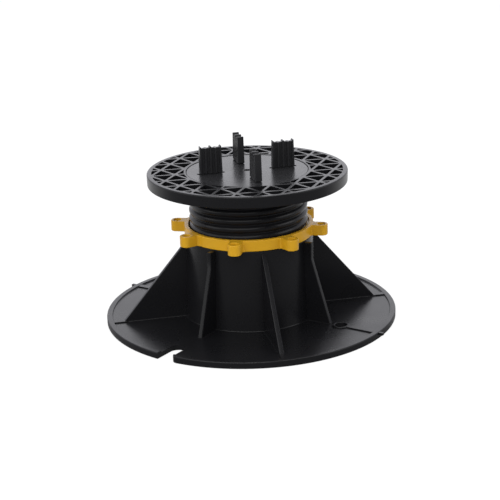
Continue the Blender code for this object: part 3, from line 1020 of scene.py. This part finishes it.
def build_tab(number):
    stations = tab_stations()
    tab = loft(f"spacer_tab_{number + 1}_moulding", [tab_section(x, inset) for x, inset in stations])
    combine(tab, barbed_tongue(), "UNION")
    turn = Matrix.Rotation(math.radians(tab_angle(number)), 4, "Z")
    tab.data.transform(turn @ Matrix.Translation((TAB_CENTRE * MM, 0, 0)))
    return smooth(tab)


# Materials


def node(tree, kind, inputs=None, **settings):
    """New node with its settings made first, and then its inputs' values."""
    made = tree.nodes.new(kind)
    for key, value in settings.items():
        setattr(made, key, value)
    for key, value in (inputs or {}).items():
        made.inputs[key].default_value = value
    return made


def plastic(name, colour, dark, roughness, spread, specular):
    """Moulded plastic: tone and gloss that change slowly, and a fine eroded grain."""
    material = bpy.data.materials.new(name)
    material.use_nodes = True
    tree = material.node_tree
    link = tree.links.new
    shader = tree.nodes["Principled BSDF"]
    shader.inputs["Metallic"].default_value = 0.0
    shader.inputs["IOR"].default_value = PLASTIC_IOR
    shader.inputs["Specular IOR Level"].default_value = specular
    place = node(tree, "ShaderNodeTexCoord")
    cloud_values = {"Scale": CLOUD_SCALE, "Detail": 5.0, "Roughness": 0.6}
    cloud = node(tree, "ShaderNodeTexNoise", cloud_values)
    link(place.outputs["Object"], cloud.inputs["Vector"])
    tone_values = {"A": (*dark, 1.0), "B": (*colour, 1.0)}
    tone = node(tree, "ShaderNodeMix", tone_values, data_type="RGBA")
    link(cloud.outputs["Fac"], tone.inputs["Factor"])
    link(tone.outputs["Result"], shader.inputs["Base Color"])
    grain_values = {"Scale": GRAIN_SCALE, "Detail": 3.0, "Roughness": 0.55}
    grain = node(tree, "ShaderNodeTexNoise", grain_values)
    link(place.outputs["Object"], grain.inputs["Vector"])
    gloss_values = {
        "From Min": 0.3,
        "From Max": 0.7,
        "To Min": roughness - spread,
        "To Max": roughness + spread,
    }
    gloss = node(tree, "ShaderNodeMapRange", gloss_values)
    link(cloud.outputs["Fac"], gloss.inputs["Value"])
    link(gloss.outputs["Result"], shader.inputs["Roughness"])
    bump = node(tree, "ShaderNodeBump", {"Strength": GRAIN_STRENGTH, "Distance": GRAIN_DEPTH})
    link(grain.outputs["Fac"], bump.inputs["Height"])
    link(bump.outputs["Normal"], shader.inputs["Normal"])
    return material


def set_material(item, material):
    item.data.materials.clear()
    item.data.materials.append(material)


# Studio


def seen_by_reflection(tree, ray):
    """1 for glossy and transmission rays, 0 for the others."""
    either = node(tree, "ShaderNodeMath", operation="MAXIMUM")
    tree.links.new(ray.outputs["Is Glossy Ray"], either.inputs[0])
    tree.links.new(ray.outputs["Is Transmission Ray"], either.inputs[1])
    return either.outputs[0]


def away_ramp(tree, vector, reach, levels):
    """Smooth change of a level along the direction that leads away from the photographed front."""
    along = node(tree, "ShaderNodeVectorMath", operation="DOT_PRODUCT")
    along.inputs[1].default_value = view_turn() @ Vector((0.0, 1.0, 0.0))
    tree.links.new(vector, along.inputs[0])
    ramp_values = {
        "From Min": reach[0],
        "From Max": reach[1],
        "To Min": levels[0],
        "To Max": levels[1],
    }
    ramp = node(tree, "ShaderNodeMapRange", ramp_values, interpolation_type="SMOOTHSTEP")
    tree.links.new(along.outputs["Value"], ramp.inputs["Value"])
    return ramp.outputs["Result"]


def make_world():
    """White room: bright behind the object, dim behind the camera, plain white to the camera."""
    world = bpy.data.worlds.new("studio")
    world.use_nodes = True
    bpy.context.scene.world = world
    tree = world.node_tree
    tree.nodes.clear()
    link = tree.links.new
    out = node(tree, "ShaderNodeOutputWorld")
    ray = node(tree, "ShaderNodeLightPath")
    place = node(tree, "ShaderNodeTexCoord")
    room = away_ramp(tree, place.outputs["Generated"], ROOM_REACH, (ROOM_FRONT, 1.0))
    level = node(tree, "ShaderNodeMix", {"A": WORLD_LIGHT})
    link(seen_by_reflection(tree, ray), level.inputs["Factor"])
    link(room, level.inputs["B"])
    seen = node(tree, "ShaderNodeMath", {1: WORLD_SEEN}, operation="MULTIPLY")
    link(ray.outputs["Is Camera Ray"], seen.inputs[0])
    strength = node(tree, "ShaderNodeMath", operation="MAXIMUM")
    link(level.outputs["Result"], strength.inputs[0])
    link(seen.outputs[0], strength.inputs[1])
    light = node(tree, "ShaderNodeBackground", {"Color": WORLD_TINT})
    link(strength.outputs[0], light.inputs["Strength"])
    link(light.outputs[0], out.inputs[0])


def floor_material():
    """Dull floor that keeps shadows and looks white to the camera and in reflections."""
    material = bpy.data.materials.new("floor")
    material.use_nodes = True
    tree = material.node_tree
    tree.nodes.clear()
    link = tree.links.new
    out = node(tree, "ShaderNodeOutputMaterial")
    ray = node(tree, "ShaderNodeLightPath")
    place = node(tree, "ShaderNodeTexCoord")
    levels = (FLOOR_SEEN_NEAR, FLOOR_SEEN_FAR)
    seen = away_ramp(tree, place.outputs["Object"], FLOOR_REACH, levels)
    reflected = node(tree, "ShaderNodeMath", operation="MULTIPLY")
    link(seen_by_reflection(tree, ray), reflected.inputs[0])
    link(seen, reflected.inputs[1])
    strength = node(tree, "ShaderNodeMath", {1: FLOOR_GLOW}, operation="MULTIPLY_ADD")
    link(ray.outputs["Is Camera Ray"], strength.inputs[0])
    link(reflected.outputs[0], strength.inputs[2])
    diffuse = node(tree, "ShaderNodeBsdfDiffuse", {"Color": (FLOOR_ALBEDO,) * 3 + (1.0,)})
    glow = node(tree, "ShaderNodeEmission", {"Color": (1.0, 1.0, 1.0, 1.0)})
    link(strength.outputs[0], glow.inputs["Strength"])
    both = node(tree, "ShaderNodeAddShader")
    link(diffuse.outputs[0], both.inputs[0])
    link(glow.outputs[0], both.inputs[1])
    link(both.outputs[0], out.inputs[0])
    return material


def make_floor():
    bm = bmesh.new()
    bmesh.ops.create_circle(bm, cap_ends=True, segments=96, radius=FLOOR_R)
    mesh = bpy.data.meshes.new("floor")
    bm.to_mesh(mesh)
    bm.free()
    floor = bpy.data.objects.new("floor", mesh)
    bpy.context.scene.collection.objects.link(floor)
    floor.location.z = -FLOOR_DROP
    floor.data.materials.append(floor_material())


def area_light(name, place, size, power):
    """Soft box that faces the object, placed in the camera's frame."""
    data = bpy.data.lights.new(name, "AREA")
    data.shape = "RECTANGLE"
    data.size = size[0]
    data.size_y = size[1]
    data.energy = power
    light = bpy.data.objects.new(name, data)
    bpy.context.scene.collection.objects.link(light)
    turn = view_turn()
    at = turn @ Vector(place)
    to = turn @ Vector(LIGHT_TARGET)
    light.location = at
    light.rotation_mode = "QUATERNION"
    light.rotation_quaternion = (to - at).to_track_quat("-Z", "Y")


def main():
    bpy.context.scene.view_settings.view_transform = "Standard"
    make_camera()
    make_world()
    make_floor()
    for name, place, size, power in LIGHTS:
        area_light(name, place, size, power)
    black = plastic(
        "black_polypropylene",
        colour=(0.0082, 0.0082, 0.0092),
        dark=(0.0062, 0.0062, 0.0070),
        roughness=0.28,
        spread=0.03,
        specular=0.22,
    )
    grey = plastic(
        "black_nylon",
        colour=(0.0196, 0.0196, 0.0208),
        dark=(0.0152, 0.0152, 0.0162),
        roughness=0.27,
        spread=0.03,
        specular=0.25,
    )
    yellow = plastic(
        "yellow_polypropylene",
        colour=(0.69, 0.373, 0.014),
        dark=(0.62, 0.327, 0.011),
        roughness=0.36,
        spread=0.05,
        specular=0.35,
    )
    pieces = [
        (build_base(), "base", "base", black, "black_moulding"),
        (build_lock_ring(), "lock_ring", "lock_ring", yellow, "yellow_moulding"),
        (build_screw_head(), "screw_head", "head", black, "black_moulding"),
        (build_disc(), "spacer_disc", "spacer", grey, "black_moulding"),
    ]
    for i in range(TAB_COUNT):
        pieces.append((build_tab(i), f"spacer_tab_{i + 1}", "spacer", grey, "black_moulding"))
    for item, cad_node, body, material, slot in pieces:
        set_material(item, material)
        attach(item, body)
        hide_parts(cad_node)
    for name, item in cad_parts.items():
        set_material(item, yellow if name == "lock_ring" else black)


main()
